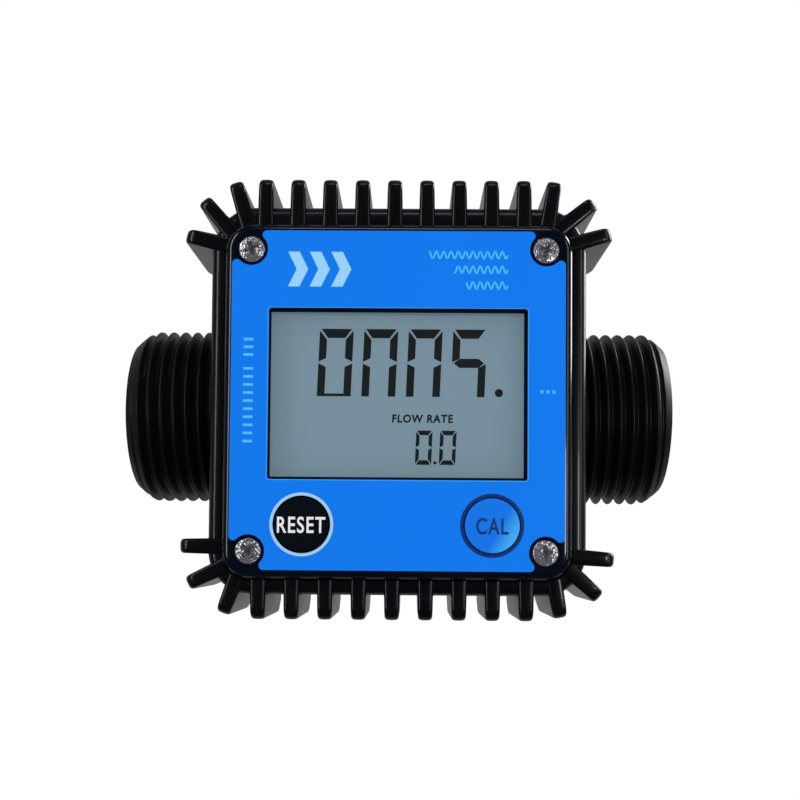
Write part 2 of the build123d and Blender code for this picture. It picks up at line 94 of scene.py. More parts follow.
class MeterSizes(bpy.types.PropertyGroup):
    """Sizes of the details that the scene adds to the solids."""

    thread_crest: length("Thread crest radius", "Radius over the crests of the thread", 16.62)
    thread_root: length("Thread root radius", "Radius at the bottom of the thread", 15.15)
    thread_pitch: length("Thread pitch", "Distance between two crests", 2.309)
    thread_start: length("Thread start", "Station where the port leaves its collar", 34.32)
    port_bore: length("Port bore radius", "Radius of the bore in the port", 12.5)
    bore_chamfer: length("Bore chamfer", "Chamfer at the mouth of the bore", 0.8)
    lead_length: length("Lead-in length", "Length of the taper at the end of the thread", 3.3)
    lead_depth: length("Lead-in depth", "What the taper takes off the radius at the end", 2.4)
    cover_edge: length("Cover edge", "Small round on the edges of the cover", 0.07)
    print_height: length("Print height", "How far ink stands on the label", 0.03)
    screw_radius: length("Screw head radius", "Radius of the cover screws' heads", 2.25)
    screw_seat: length("Screw head height", "Height of the cover screws' heads", 1.6)
    ring_outer: length("Key ring outer radius", "Outer radius of the ring round a key", 5.5)
    ring_inner: length("Key ring inner radius", "Inner radius of the ring round a key", 4.97)
    # The window border is a dark band on the pane's front, its width given for each side of the
    # window.
    border_width: length("Window border", "Dark line printed round the window", 0.42)


class MeterColours(bpy.types.PropertyGroup):
    """Colours of the meter's finishes."""

    case: tint("Case", "Moulded case", 2, 3, 8)
    port: tint("Ports", "Threaded ports", 4, 4, 7)
    cover: tint("Cover", "Moulded cover", 1, 5, 17)
    label: tint("Label", "Printed face", 0, 119, 236)
    pale_ink: tint("Pale ink", "Arrows printed on the label", 148, 208, 248)
    # Sky ink's colour is also the painted highlight on the blue key's lower right edge.
    sky_ink: tint("Sky ink", "Small marks printed on the label", 72, 186, 248)
    trim_ink: tint("Trim ink", "Fine line round the window", 44, 152, 246)
    silver_ink: tint("Silver ink", "Ring round the black key", 160, 206, 240)
    navy_ink: tint("Navy ink", "Ring and word of the blue key", 0, 50, 112)
    white_ink: tint("White ink", "Word on the black key", 226, 228, 230)
    black_key: tint("Black key", "Reset key", 7, 11, 22)
    blue_key: tint("Blue key", "Calibrate key", 0, 110, 226)
    display: tint("Display", "Grey green of the display", 118, 143, 157)
    digits: tint("Digits", "Dark segments of the display", 12, 20, 20)
    screw: tint("Screws", "Bright plated steel", 214, 214, 222)
    board: tint("Board", "Green coat of the circuit board", 20, 92, 52)


# Shader maths


class Signal:
    """A shader socket for use in Python arithmetic, where each step adds one Math node."""

    def __init__(self, paint, socket):
        self.paint = paint
        self.socket = socket

    def maths(self, operation, first, second):
        return self.paint.node("ShaderNodeMath", {"operation": operation}, {0: first, 1: second})

    def __add__(self, other):
        return self.maths("ADD", self, other)

    def __sub__(self, other):
        return self.maths("SUBTRACT", self, other)

    def __rsub__(self, other):
        return self.maths("SUBTRACT", other, self)

    def __mul__(self, other):
        return self.maths("MULTIPLY", self, other)

    def __truediv__(self, other):
        return self.maths("DIVIDE", self, other)

    def __gt__(self, other):
        return self.maths("GREATER_THAN", self, other)

    def __lt__(self, other):
        return self.maths("LESS_THAN", self, other)

    __radd__ = __add__
    __rmul__ = __mul__


class Paint:
    """Node tree of one material or of the world, built from its coordinates to its output."""

    OBJECT_COORDINATES = 3
    MIX_SHARE, MIX_FIRST, MIX_SECOND, MIX_RESULT = 0, 6, 7, 2

    def __init__(self, owner):
        owner.use_nodes = True
        self.owner = owner
        self.tree = owner.node_tree
        self.tree.nodes.clear()

    def node(self, kind, settings=None, sockets=None, output=0):
        """Adds a node, sets its settings first and then its sockets' values or links."""
        node = self.tree.nodes.new(kind)
        for key, value in (settings or {}).items():
            setattr(node, key, value)
        for key, value in (sockets or {}).items():
            if isinstance(value, Signal):
                self.tree.links.new(value.socket, node.inputs[key])
            else:
                node.inputs[key].default_value = value
        return Signal(self, node.outputs[output]) if len(node.outputs) else None

    def outputs(self, kind, *names):
        """Adds a node and gives the outputs with the given names."""
        node = self.tree.nodes.new(kind)
        return [Signal(self, node.outputs[name]) for name in names]

    def place(self):
        """Object coordinates, which stay with the piece."""
        return self.node("ShaderNodeTexCoord", output=self.OBJECT_COORDINATES)

    def axis(self, number):
        """One of the object coordinates."""
        return self.node("ShaderNodeSeparateXYZ", sockets={0: self.place()}, output=number)

    def mapped(self, socket, value):
        """Object coordinates scaled or rotated along each axis."""
        return self.node("ShaderNodeMapping", sockets={"Vector": self.place(), socket: value})

    def noise(self, size, detail=2.0, roughness=0.5, vector=None):
        """Smooth noise from 0 to 1, with features of about the given size."""
        return self.node("ShaderNodeTexNoise", sockets={
            "Vector": vector or self.place(), "Scale": 1.0 / size, "Detail": detail,
            "Roughness": roughness})

    def ramp(self, value, start, end, height=1.0):
        """Value led from 0 at its start up to a height at its end."""
        ramp = self.node("ShaderNodeValToRGB", sockets={0: value})
        elements = ramp.socket.node.color_ramp.elements
        for element, place, grey in zip(elements, (start, end), (0.0, height)):
            element.position = place
            element.color = (grey, grey, grey, 1.0)
        return ramp

    def mix(self, share, first, second):
        """Colour between two colours."""
        return self.node("ShaderNodeMix", {"data_type": "RGBA"}, {
            self.MIX_SHARE: share, self.MIX_FIRST: rgba(first), self.MIX_SECOND: rgba(second),
        }, self.MIX_RESULT)

    def bump(self, height, strength, distance):
        """Normal that follows a height."""
        return self.node("ShaderNodeBump", sockets={
            "Strength": strength, "Distance": distance, "Height": height})

    def surface(self, **sockets):
        """Principled surface, whose sockets are named with underscores for their spaces."""
        named = {key.replace("_", " "): value for key, value in sockets.items()}
        return self.finish(self.node("ShaderNodeBsdfPrincipled", sockets=named))

    def finish(self, shader, kind="ShaderNodeOutputMaterial"):
        """Leads a shader to the output and gives the finished material or world."""
        self.node(kind, sockets={"Surface": shader})
        return self.owner


def rgba(value):
    """Colour with its alpha, or a linked colour as it is."""
    return value if isinstance(value, Signal) or len(value) == 4 else (*value, 1.0)


def tinted(colour, factor):
    """Colour made lighter or darker by a factor."""
    return tuple(min(1.0, channel * factor) for channel in colour)


def new_paint(name):
    """Empty material and its node tree."""
    return Paint(bpy.data.materials.new(name))


# Finishes. Noise sizes and bump distances are the real sizes of what they show.


def moulded_plastic(name, colour, roughness, grain, depth, coat=0.0):
    """Dark moulded nylon: flow marks and rubbed spots in the gloss, and a faint skin texture."""
    paint = new_paint(name)
    flow = paint.noise(14 * MM, 3.0)
    skin = paint.noise(grain, 3.0, 0.6)
    rub = paint.ramp(paint.noise(3.5 * MM, 5.0, 0.7), 0.55, 0.75)
    return paint.surface(
        Base_Color=paint.mix(flow * 0.6 + rub * 0.25, colour, tinted(colour, 1.9)),
        Roughness=roughness + (flow - 0.5) * 0.16 + rub * 0.07,
        Coat_Weight=coat, Coat_Roughness=0.06, Specular_IOR_Level=0.4,
        Normal=paint.bump(skin, 0.5, depth))


def printed_face(name, colour):
    """Satin printed polyester: even colour with a faint drift and a fine matt texture."""
    paint = new_paint(name)
    drift = paint.noise(22 * MM)
    grain = paint.noise(0.25 * MM)
    return paint.surface(
        Base_Color=paint.mix(
            drift * 0.5 + grain * 0.12, tinted(colour, 0.94), tinted(colour, 1.09)),
        Roughness=0.4 + (grain - 0.5) * 0.1, Specular_IOR_Level=0.12,
        Normal=paint.bump(grain, 0.25, 0.01 * MM))


def key_face(name, colour, glow, centre):
    """Smooth key with a painted highlight: it grows lighter towards its lower right edge, in the
    glow colour.
    """
    paint = new_paint(name)
    # Painted highlight: the colour runs towards glow near the lower right edge.
    highlight_slope = (paint.axis(0) - centre.x) - (paint.axis(2) - centre.z) * 0.55
    edge = paint.ramp(highlight_slope / (10 * MM) + 0.1, 0.25, 0.62, 0.75)
    grain = paint.noise(0.3 * MM, 3.0)
    return paint.surface(
        Base_Color=paint.mix(edge + grain * 0.06, colour, glow),
        Roughness=0.36 + (grain - 0.5) * 0.1, Specular_IOR_Level=0.15,
        Normal=paint.bump(grain, 0.3, 0.01 * MM))


def ink(name, colour, roughness=0.45):
    """Screen printed ink with a slightly uneven coat."""
    paint = new_paint(name)
    coat = paint.noise(0.35 * MM, 3.0)
    return paint.surface(
        Base_Color=paint.mix(coat, tinted(colour, 0.9), tinted(colour, 1.08)),
        Roughness=roughness + (coat - 0.5) * 0.12, Specular_IOR_Level=0.2)


def clear_pane(name):
    """Polished clear plastic: nearly invisible, with a gloss that fades where it was wiped."""
    paint = new_paint(name)
    wipe = paint.noise(6 * MM, 4.0, 0.6, paint.mapped("Scale", (1.0, 1.0, 3.0)))
    return paint.surface(
        Base_Color=(0.10, 0.12, 0.13, 1.0), Roughness=0.05 + wipe * 0.06,
        Alpha=0.02 + wipe * 0.03, Coat_Weight=0.3)


def display_face(name, colour):
    """Display behind its polariser: even grey green, darker at the bottom, with a faint weave, and
    a painted glow: it emits its own colour though it has no backlight.
    """
    paint = new_paint(name)
    rise = (paint.axis(2) - GLASS_LOW.z) / (GLASS_HIGH.z - GLASS_LOW.z)
    weave = paint.noise(0.3 * MM)
    share = rise * 0.5 + weave * 0.3
    return paint.surface(
        Base_Color=paint.mix(share, tinted(colour, 0.57), tinted(colour, 0.62)),
        Roughness=0.4 + (weave - 0.5) * 0.1, Specular_IOR_Level=0.2,
        # Painted glow: emission that evens out the shade of the window's recess.
        Emission_Color=paint.mix(share, tinted(colour, 0.97), tinted(colour, 1.03)),
        Emission_Strength=0.5)


def bright_metal(name, colour, roughness, streak=(1.0, 1.0, 1.0), depth=0.01 * MM):
    """Plated or ground metal: fine streaks and small dull patches."""
    paint = new_paint(name)
    brush = paint.noise(0.5 * MM, 3.0, 0.6, paint.mapped("Scale", streak))
    dull = paint.ramp(paint.noise(1.3 * MM, 4.0, 0.65), 0.5, 0.72)
    return paint.surface(
        Base_Color=paint.mix(dull * 0.5 + brush * 0.2, colour, tinted(colour, 0.62)),
        Metallic=1.0, Roughness=roughness + dull * 0.16 + (brush - 0.5) * 0.08,
        Normal=paint.bump(brush, 0.3, depth))


def screw_plating(name, colour, top):
    """Bright plating on a pressed head: hammered dimples, and painted shade that darkens the head
    and dulls its metal the further back a point lies, most of all in the recess.
    """
    paint = new_paint(name)
    # Painted shade: the colour falls to near black and the metal dulls with distance back from the
    # head's top.
    recess_shade = paint.ramp((paint.axis(1) - top) / (1.6 * MM), 0.25, 0.6)
    dimple = paint.noise(0.9 * MM)
    return paint.surface(
        Base_Color=paint.mix(recess_shade * 0.85, colour, tinted(colour, 0.05)),
        Metallic=0.86 - recess_shade * 0.3, Roughness=0.1 + dimple * 0.1,
        Normal=paint.bump(dimple, 1.0, 0.55 * MM))


def matt_body(name, colour, roughness, grain=0.4 * MM, depth=0.03 * MM, drift=0.12):
    """Plain rubber, ceramic or plastic: a grainy matt skin and a slow drift in colour."""
    paint = new_paint(name)
    skin = paint.noise(grain, 4.0, 0.6)
    cloud = paint.noise(grain * 18)
    return paint.surface(
        Base_Color=paint.mix(
            skin * 0.5 + cloud * 0.5, tinted(colour, 1 - drift), tinted(colour, 1 + drift)),
        Roughness=roughness + (skin - 0.5) * 0.15, Normal=paint.bump(skin, 0.4, depth))


def board_face(name, colour):
    """Coated board: copper tracks under the green and bare pads in rows."""
    paint = new_paint(name)
    tracks = paint.node("ShaderNodeTexBrick", {"offset": 0.37, "squash": 1.6}, {
        "Vector": paint.mapped("Rotation", (math.pi / 2, 0, 0)), "Scale": 1.0 / (4 * MM),
        "Mortar Size": 0.08, "Mortar Smooth": 0.1, "Brick Width": 1.3, "Row Height": 0.45,
    }, 1)
    pads = paint.node("ShaderNodeTexVoronoi", sockets={
        "Vector": paint.place(), "Scale": 1.0 / (5 * MM)}) < 0.12
    green = paint.mix(tracks, colour, tinted(colour, 1.8))
    return paint.surface(
        Base_Color=paint.mix(pads, green, linear(198, 186, 132)),
        Roughness=0.35 - pads * 0.1, Metallic=pads * 0.9,
        Normal=paint.bump(tracks, 0.3, 0.04 * MM))


def cell_jacket(name, plus_side):
    """Cell's sleeve along X: grey, with a warm band at the end of the raised contact."""
    paint = new_paint(name)
    along = paint.axis(0) * plus_side
    band = along > 13 * MM
    line = (along > 11.4 * MM) * (along < 12.1 * MM)
    steel = along > 21.3 * MM
    scuff = paint.noise(1.2 * MM, 4.0, 0.6)
    sleeve = paint.mix(band, linear(112, 116, 122), linear(176, 124, 60))
    lined = paint.mix(line, sleeve, linear(226, 226, 222))
    return paint.surface(
        Base_Color=paint.mix(steel, lined, linear(190, 190, 188)),
        Metallic=0.25 + steel * 0.7, Roughness=0.32 + scuff * 0.12,
        Normal=paint.bump(scuff, 0.2, 0.02 * MM))


# Mesh helpers


def middle(node):
    """Middle of a solid's box."""
    low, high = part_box(node)
    return (low + high) / 2


def read_points(mesh):
    """Points of a mesh as an array with one row for each."""
    points = np.zeros(len(mesh.vertices) * 3)
    mesh.vertices.foreach_get("co", points)
    return points.reshape(-1, 3)


def write_points(mesh, points):
    """Puts such an array back into its mesh."""
    mesh.vertices.foreach_set("co", points.ravel())
    mesh.update()


def points_of(*coordinates):
    """Points from arrays of X, Y and Z that are stretched to one shape."""
    return np.stack(np.broadcast_arrays(*coordinates), axis=-1)


def linked(name, data):
    """New object in the scene."""
    item = bpy.data.objects.new(name, data)
    bpy.context.scene.collection.objects.link(item)
    return item


def add_object(name, mesh, material, body, smooth=True):
    """Puts a finished mesh in the scene, on its body and with its material slot."""
    piece = linked(name, mesh)
    mesh.materials.clear()
    mesh.materials.append(material)
    mesh.polygons.foreach_set("use_smooth", [smooth] * len(mesh.polygons))
    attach(piece, body)
    return piece


def grid_faces(rows, columns, start=0, wrap_rows=False, wrap_columns=False):
    """Quads between the points of a grid, whose rows or columns may close on themselves."""
    index = np.arange(rows * columns).reshape(rows, columns) + start
    near, far = (index, np.roll(index, -1, 0)) if wrap_rows else (index[:-1], index[1:])
    if wrap_columns:
        corners = (near, np.roll(near, -1, 1), np.roll(far, -1, 1), far)
    else:
        corners = (near[:, :-1], near[:, 1:], far[:, 1:], far[:, :-1])
    return np.stack(corners, axis=-1).reshape(-1, 4)


def closed_mesh(name, points, faces, sharp=None, merge=True):
    """Mesh with its doubles merged, its faces turned outwards and its edges sharp from an angle."""
    mesh = bpy.data.meshes.new(name)
    mesh.from_pydata(points.reshape(-1, 3).tolist(), [], faces)
    shape = bmesh.new()
    shape.from_mesh(mesh)
    if merge:
        bmesh.ops.remove_doubles(shape, verts=shape.verts, dist=0.0005 * MM)
    bmesh.ops.recalc_face_normals(shape, faces=shape.faces)
    shape.to_mesh(mesh)
    shape.free()
    if sharp is not None:
        mesh.set_sharp_from_angle(angle=math.radians(sharp))
    return mesh


def plates(name, outlines, front, back):
    """Flat convex pieces: each outline in X and Z becomes a prism from its front to its back."""
    points, faces, start = [], [], 0
    for outline in outlines:
        plan = np.asarray(outline, float)
        count = len(plan)
        ring = np.arange(start, start + count)
        after = np.roll(ring, -1)
        points += [np.insert(plan, 1, y, axis=1) for y in (front, back)]
        faces += [ring.tolist(), (ring[::-1] + count).tolist()]
        faces += np.column_stack([ring, ring + count, after + count, after]).tolist()
        start += 2 * count
    return closed_mesh(name, np.vstack(points), faces, merge=False)


def printed(name, outlines, level, material, height=0.03 * MM, sink=0.02 * MM):
    """Flat ink that stands on a level that faces -Y, and reaches a little into it."""
    mesh = plates(name, outlines, level - height, level + sink)
    return add_object(name, mesh, material, BODY, smooth=False)


def ring_plate(name, centre, inner, outer, front, back, columns=96):
    """Flat ring: a rectangle of radius and depth carried round a circle in X and Z."""
    turn = np.linspace(0, 2 * np.pi, columns, endpoint=False)
    radius = np.array([inner, outer, outer, inner])[:, None]
    depth = np.array([front, front, back, back])[:, None]
    points = points_of(centre.x + radius * np.cos(turn), depth, centre.z + radius * np.sin(turn))
    return closed_mesh(name, points, grid_faces(4, columns, 0, True, True).tolist(), 40)


def ribbon(path, width):
    """Quads in X and Z along a path, each as wide as the stroke, square to the path."""
    along = np.gradient(path, axis=0)
    along /= np.linalg.norm(along, axis=1, keepdims=True)
    across = np.column_stack([-along[:, 1], along[:, 0]]) * width / 2
    left, right = path + across, path - across
    return list(np.stack([left[:-1], left[1:], right[1:], right[:-1]], axis=1))


def lettering(name, words, box, style, depth_of, material, body):
    """Generic words fitted to a box in X and Z, on a surface whose depth is a function of both.

    The style is the weight of the strokes, their lean and the thickness of the ink.
    """
    weight, lean, thickness = style
    curve = bpy.data.curves.new(name, "FONT")
    curve.body = words
    curve.offset = weight
    curve.space_character = 1.14
    curve.shear = lean
    curve.resolution_u = 6
    writing = linked(name, curve)
    seen = writing.evaluated_get(bpy.context.evaluated_depsgraph_get())
    mesh = bpy.data.meshes.new_from_object(seen)
    bpy.data.objects.remove(writing)
    points = read_points(mesh)
    low, high = points.min(0), points.max(0)
    left, right, bottom, top = box
    x = left + (points[:, 0] - low[0]) / (high[0] - low[0]) * (right - left)
    z = bottom + (points[:, 1] - low[1]) / (high[1] - low[1]) * (top - bottom)
    write_points(mesh, np.column_stack([x, depth_of(x, z), z]))
    piece = add_object(name, mesh, material, body, smooth=False)
    wall = piece.modifiers.new("Thickness", "SOLIDIFY")
    wall.thickness = thickness
    wall.offset = 1.0


def dressed(node, material, body, edge=0.0, reshape=None, angle=32.0):
    """Copy of a solid shown in its place, reshaped as an array of points or with rounded edges."""
    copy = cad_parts[node].data.copy()
    if reshape:
        write_points(copy, reshape(read_points(copy)))
    shape = bmesh.new()
    shape.from_mesh(copy)
    bpy.data.meshes.remove(copy)
    bmesh.ops.remove_doubles(shape, verts=shape.verts, dist=0.001 * MM)
    bmesh.ops.dissolve_limit(
        shape, angle_limit=math.radians(0.4), verts=shape.verts, edges=shape.edges)
    mesh = bpy.data.meshes.new(node + "_skin")
    shape.to_mesh(mesh)
    shape.free()
    for attribute in [a for a in mesh.attributes if a.name == "custom_normal"]:
        mesh.attributes.remove(attribute)
    if edge == 0:
        mesh.set_sharp_from_angle(angle=math.radians(angle))
    piece = add_object(node + "_skin", mesh, material, body)
    if edge > 0:
        rounding = piece.modifiers.new("Edge", "BEVEL")
        rounding.width = edge
        rounding.segments = 2
        rounding.limit_method = "ANGLE"
        rounding.angle_limit = math.radians(angle)
        rounding.use_clamp_overlap = False
        rounding.harden_normals = True
    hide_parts(node)


def paint_solids(material, *nodes):
    """Gives solids that are shown as they are their material."""
    for node in nodes:
        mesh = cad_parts[node].data
        mesh.materials.clear()
        mesh.materials.append(material)


# Threads: station of a crest in front of the axis on each side, size of the grid and how steep
# the flanks are

THREAD_PHASE = {-1: 1.43 * MM, 1: 0.19 * MM}
THREAD_ROW = 0.085 * MM
THREAD_COLUMNS = 168
FLANK = 1.45
LEAD_CURVE = 1.25
PORT_LIP = 0.12 * MM


def thread_height(turn):
    """0 at the root and 1 at the crest: a triangle wave over each turn, steepened and softened."""
    steep = FLANK * (1.0 - 4.0 * np.abs(turn - np.round(turn)))
    return 0.5 + 0.5 * steep / (1.0 + np.abs(steep) ** 6) ** (1.0 / 6.0)


def threaded_port(name, side, sizes):
    """Port as a closed ring: the station along X and the angle round it are the two parameters.

    The radius is the root's plus the thread's height at the phase (station - pitch * angle / turn),
    and never more than the taper's, crest - lead_depth * lead ** LEAD_CURVE. Then come the end
    face, the mouth's chamfer and the bore.
    """
    rows = int((PORT_END - sizes.thread_start) / THREAD_ROW)
    station = np.linspace(sizes.thread_start, PORT_END, rows)[:, None]
    angle = np.linspace(0, 2 * np.pi, THREAD_COLUMNS, endpoint=False)[None, :]
    along = side * station - THREAD_PHASE[side]
    turn = (along - sizes.thread_pitch * angle / (2 * np.pi)) / sizes.thread_pitch
    tooth = (sizes.thread_crest - sizes.thread_root) * thread_height(turn)
    lead = np.maximum(0.0, 1 - (PORT_END - station) / sizes.lead_length)
    taper = sizes.thread_crest - sizes.lead_depth * lead ** LEAD_CURVE
    outer = np.minimum(sizes.thread_root + tooth, taper)
    mouth = sizes.port_bore + sizes.bore_chamfer
    inner = np.array([
        (PORT_END, mouth + PORT_LIP), (PORT_END - 0.3 * PORT_LIP, mouth),
        (PORT_END - sizes.bore_chamfer, sizes.port_bore), (PORT_END - 3 * MM, sizes.port_bore),
        (sizes.thread_start, sizes.port_bore)])
    station = np.vstack([station, inner[:, :1]]) * side
    radius = np.vstack([outer, np.repeat(inner[:, 1:], THREAD_COLUMNS, axis=1)])
    points = points_of(station, radius * np.cos(angle), radius * np.sin(angle))
    faces = grid_faces(len(points), THREAD_COLUMNS, 0, True, True)
    return closed_mesh(name, points, faces.tolist(), 38)


# Fins in mm. The upper ones reach further than the solids' and the lower ones less. Then come
# the case's outline, and for each corner's fan the way each fin points in degrees from +X towards
# +Z, how far its middle plane passes beside the corner's centre, and its extra reach

UPPER_MORE, LOWER_MORE = 1.05, -0.55
CASE_HALF = (33.2, 33.85)
CORNER_RADIUS = 7.6
FIN_REACH = 4.9
ROW_FINS = 9
ROW_SHIFT = -0.8
ROWS = ((90.0, 5.7, UPPER_MORE), (270.0, 5.85, LOWER_MORE))
FANS = {
    (-1, 1): ((107.0, -0.4, 0.95), (130.5, 0.7, 0.9), (166.5, -0.3, 0.1)),
    (1, 1): ((81.0, 0.2, 0.95), (39.0, 1.8, 0.6), (15.7, 0.5, 0.1)),
    (-1, -1): ((250.0, -0.7, -0.55), (206.0, 0.4, 0.0), (180.0, -0.8, 0.0)),
    (1, -1): ((280.0, 1.0, -0.8), (318.2, 0.8, 0.0), (355.7, -0.2, 0.0)),
}

# A fin's depths along Y, the radii of its nose and heel, how round its edge is, what it loses at
# the back, and half its thickness: the solid's, the shown one's at the tip, and what that gains
# for each mm below the tip
FIN_FRONT, FIN_BEND, FIN_BACK = -24.85, -3.5, 0.3
FIN_NOSE, FIN_HEEL, FIN_EDGE, FIN_DROP = 2.0, 1.0, 0.95, 1.6
SOLID_HALF, FIN_HALF, FIN_DRAFT = 1.09, 1.26, 0.022
FIN_ROUND = 0.6
RIM = 2.6
TOP_RISE = 1.0
SLIM, DRAWN_IN = 0.7, 1.5


def fin_places():
    """Every fin: its starting point, its direction, and how far its root and its tip lie."""
    places = []
    for angle, pitch, more in ROWS:
        root = CASE_HALF[1]
        for place in range(ROW_FINS):
            x = ROW_SHIFT + (place - ROW_FINS // 2) * pitch
            places.append(((x, 0.0), math.radians(angle), root, root + FIN_REACH, more))
    for (sx, sz), fan in FANS.items():
        centre = sx * (CASE_HALF[0] - CORNER_RADIUS), sz * (CASE_HALF[1] - CORNER_RADIUS)
        for angle, beside, more in fan:
            turn = math.radians(angle)
            start = centre[0] - beside * math.sin(turn), centre[1] + beside * math.cos(turn)
            root = math.sqrt(CORNER_RADIUS ** 2 - beside ** 2)
            tip = math.sqrt((CORNER_RADIUS + FIN_REACH) ** 2 - beside ** 2)
            places.append((start, turn, root, tip, more))
    return places


def fin_outline(root, tip):
    """Edge of a fin as reach and depth in mm, from the cover over the nose to the back."""
    turn = np.linspace(-np.pi / 2, 0, 9)
    nose = np.column_stack([
        tip - FIN_NOSE + FIN_NOSE * np.cos(turn), FIN_FRONT + FIN_NOSE + FIN_NOSE * np.sin(turn)])
    share = np.linspace(0, 1, 6)
    heel_start = FIN_BACK - FIN_HEEL
    fall = np.column_stack([
        tip - FIN_DROP * share ** 2, FIN_BEND + share * (heel_start - FIN_BEND)])
    turn = np.linspace(0.3, np.pi / 2, 5)
    heel = np.column_stack([
        tip - FIN_DROP - FIN_HEEL + FIN_HEEL * np.cos(turn), heel_start + FIN_HEEL * np.sin(turn)])
    start = np.column_stack([np.linspace(root - RIM, root + 0.5, 5), np.full(5, FIN_FRONT)])
    end = np.array([(root + 0.3, FIN_BACK), (root - 0.6, FIN_BACK)])
    return np.vstack([start, nose, fall, heel, end])


def fin_points(start, turn, root, tip, more):
    """One fin as a grid: a flattened half ellipse, as thick as the fin, runs along its edge.

    Each row is edge - out * FIN_EDGE * (1 - cos(t) ** FIN_ROUND) across
    half * sin(t) ** FIN_ROUND, with t from -90 to 90 degrees and half growing from FIN_HALF at
    the tip by the draft, and its two ends run straight down to a line inside the case. The rows
    close in a point at both ends.
    """
    edge = fin_outline(root, tip + more)
    along = np.gradient(edge, axis=0)
    along /= np.linalg.norm(along, axis=1, keepdims=True)
    out = np.column_stack([along[:, 1], -along[:, 0]])
    t = np.linspace(-np.pi / 2, np.pi / 2, 13)
    depth = FIN_EDGE * (1 - np.abs(np.cos(t)) ** FIN_ROUND)
    side = edge[:, None, :] - out[:, None, :] * depth[None, :, None]
    half = FIN_HALF + FIN_DRAFT * (tip + more - side[..., 0])
    across = half * np.sign(t) * np.abs(np.sin(t)) ** FIN_ROUND
    inner = edge - out * FIN_EDGE
    inner = np.column_stack([
        np.minimum(inner[:, 0], root - 0.5),
        np.clip(inner[:, 1], FIN_FRONT + 1.6, FIN_BACK - 0.95)])
    side = np.concatenate([inner[:, None], side, inner[:, None]], axis=1)
    across = np.concatenate([across[:, :1], across, across[:, -1:]], axis=1)
    ends = [np.broadcast_to(side[i].mean(0), side[i].shape)[None] for i in (0, -1)]
    side = np.concatenate([ends[0], side, ends[1]])
    across = np.vstack([across[:1] * 0, across, across[:1] * 0])
    reach, level = side[..., 0], side[..., 1]
    x = start[0] + reach * math.cos(turn) - across * math.sin(turn)
    z = start[1] + reach * math.sin(turn) + across * math.cos(turn)
    return np.stack([x, level, z], axis=-1) * MM


def raised_top(points):
    """Stretches the case's top wall up from the cover's outline, more with distance from it."""
    flat = points[:, (0, 2)] / MM
    corner = np.abs(flat) - (np.array(CASE_HALF) - CORNER_RADIUS)
    beyond = np.linalg.norm(np.maximum(corner, 0), axis=1) + np.minimum(corner.max(axis=1), 0)
    share = np.clip((beyond - CORNER_RADIUS + RIM) / RIM, 0, 1)
    high = np.clip((flat[:, 1] - CASE_HALF[1] + CORNER_RADIUS) / CORNER_RADIUS, 0, 1)
    fin = beyond > CORNER_RADIUS + 0.05
    points[:, 2] += np.where(fin, 0.0, share * high * TOP_RISE) * MM
    return points


def slimmer_fins(points):
    """Draws the solid's square fins in, so that the rounded ones cover them."""
    for start, turn, root, tip, more in fin_places():
        cosine, sine = math.cos(turn), math.sin(turn)
        x, z = points[:, 0] / MM - start[0], points[:, 2] / MM - start[1]
        reach, across = x * cosine + z * sine, z * cosine - x * sine
        fin = (reach > root + 0.06) & (np.abs(across) < SOLID_HALF + 0.03)
        reach = np.minimum(reach[fin], tip + min(more, 0) - DRAWN_IN)
        across = across[fin] * SLIM
        points[fin, 0] = (start[0] + reach * cosine - across * sine) * MM
        points[fin, 2] = (start[1] + reach * sine + across * cosine) * MM
        points[fin, 1] = np.clip(
            points[fin, 1], (FIN_FRONT + DRAWN_IN) * MM, (FIN_BACK - 1.2) * MM)
    return points


# Cover screws: the cross as shares of the head, then the head's dome and rim, the recess from its
# middle to its ends, and the shank. Each screw is turned by its own angle.

CROSS_HALF, CROSS_REACH, CROSS_WALL = 0.19, 0.66, 0.025
HEAD_DOME = 0.86
DOME_DROP, RIM_TURN = 0.38 * MM, 0.35 * MM
RECESS, RECESS_RISE = 1.05, 0.75
SHANK_RADIUS, SHANK_POINT = 1.2 * MM, 0.6 * MM
SCREW_TURNS = {(-1, 1): 0.35, (1, 1): 1.25, (-1, -1): 0.75, (1, -1): 0.12}


def disc(u, v):
    """Square from -1 to 1 bent to a round disc."""
    return u * np.sqrt(1 - v ** 2 / 2), v * np.sqrt(1 - u ** 2 / 2)


